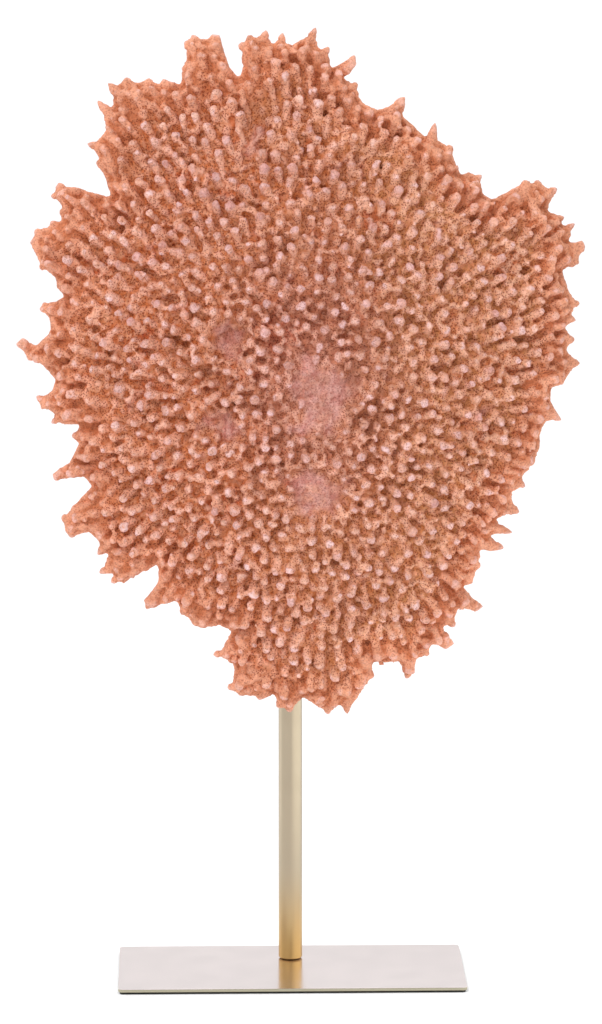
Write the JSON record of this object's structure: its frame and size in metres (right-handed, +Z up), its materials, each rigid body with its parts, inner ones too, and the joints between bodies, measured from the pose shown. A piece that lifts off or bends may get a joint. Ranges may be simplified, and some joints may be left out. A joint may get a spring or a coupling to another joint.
{
  "type": "fan-shaped coral on a stand",
  "caption": "Upright fan-shaped coral plate covered with blunt knobs and a spiny rim, on a round post and a thin rectangular base.",
  "frame": {"origin": "centre of the stand's underside, on the surface it rests on", "axes": "+Z up, along the post; the coral's knobbly front faces -Y; +X to the right seen from the front"},
  "size_m": [0.2842, 0.082, 0.4795],
  "materials": {
    "coral": "matte, salmon with paler knob tips and fine dark pores",
    "satin_brass": "satin champagne brass",
    "pad": "matte black"
  },
  "bodies": {
    "root": {"coral": "coral", "post": "satin_brass", "base_plate": "satin_brass", "base_pad": "pad"}
  },
  "joints": []
}
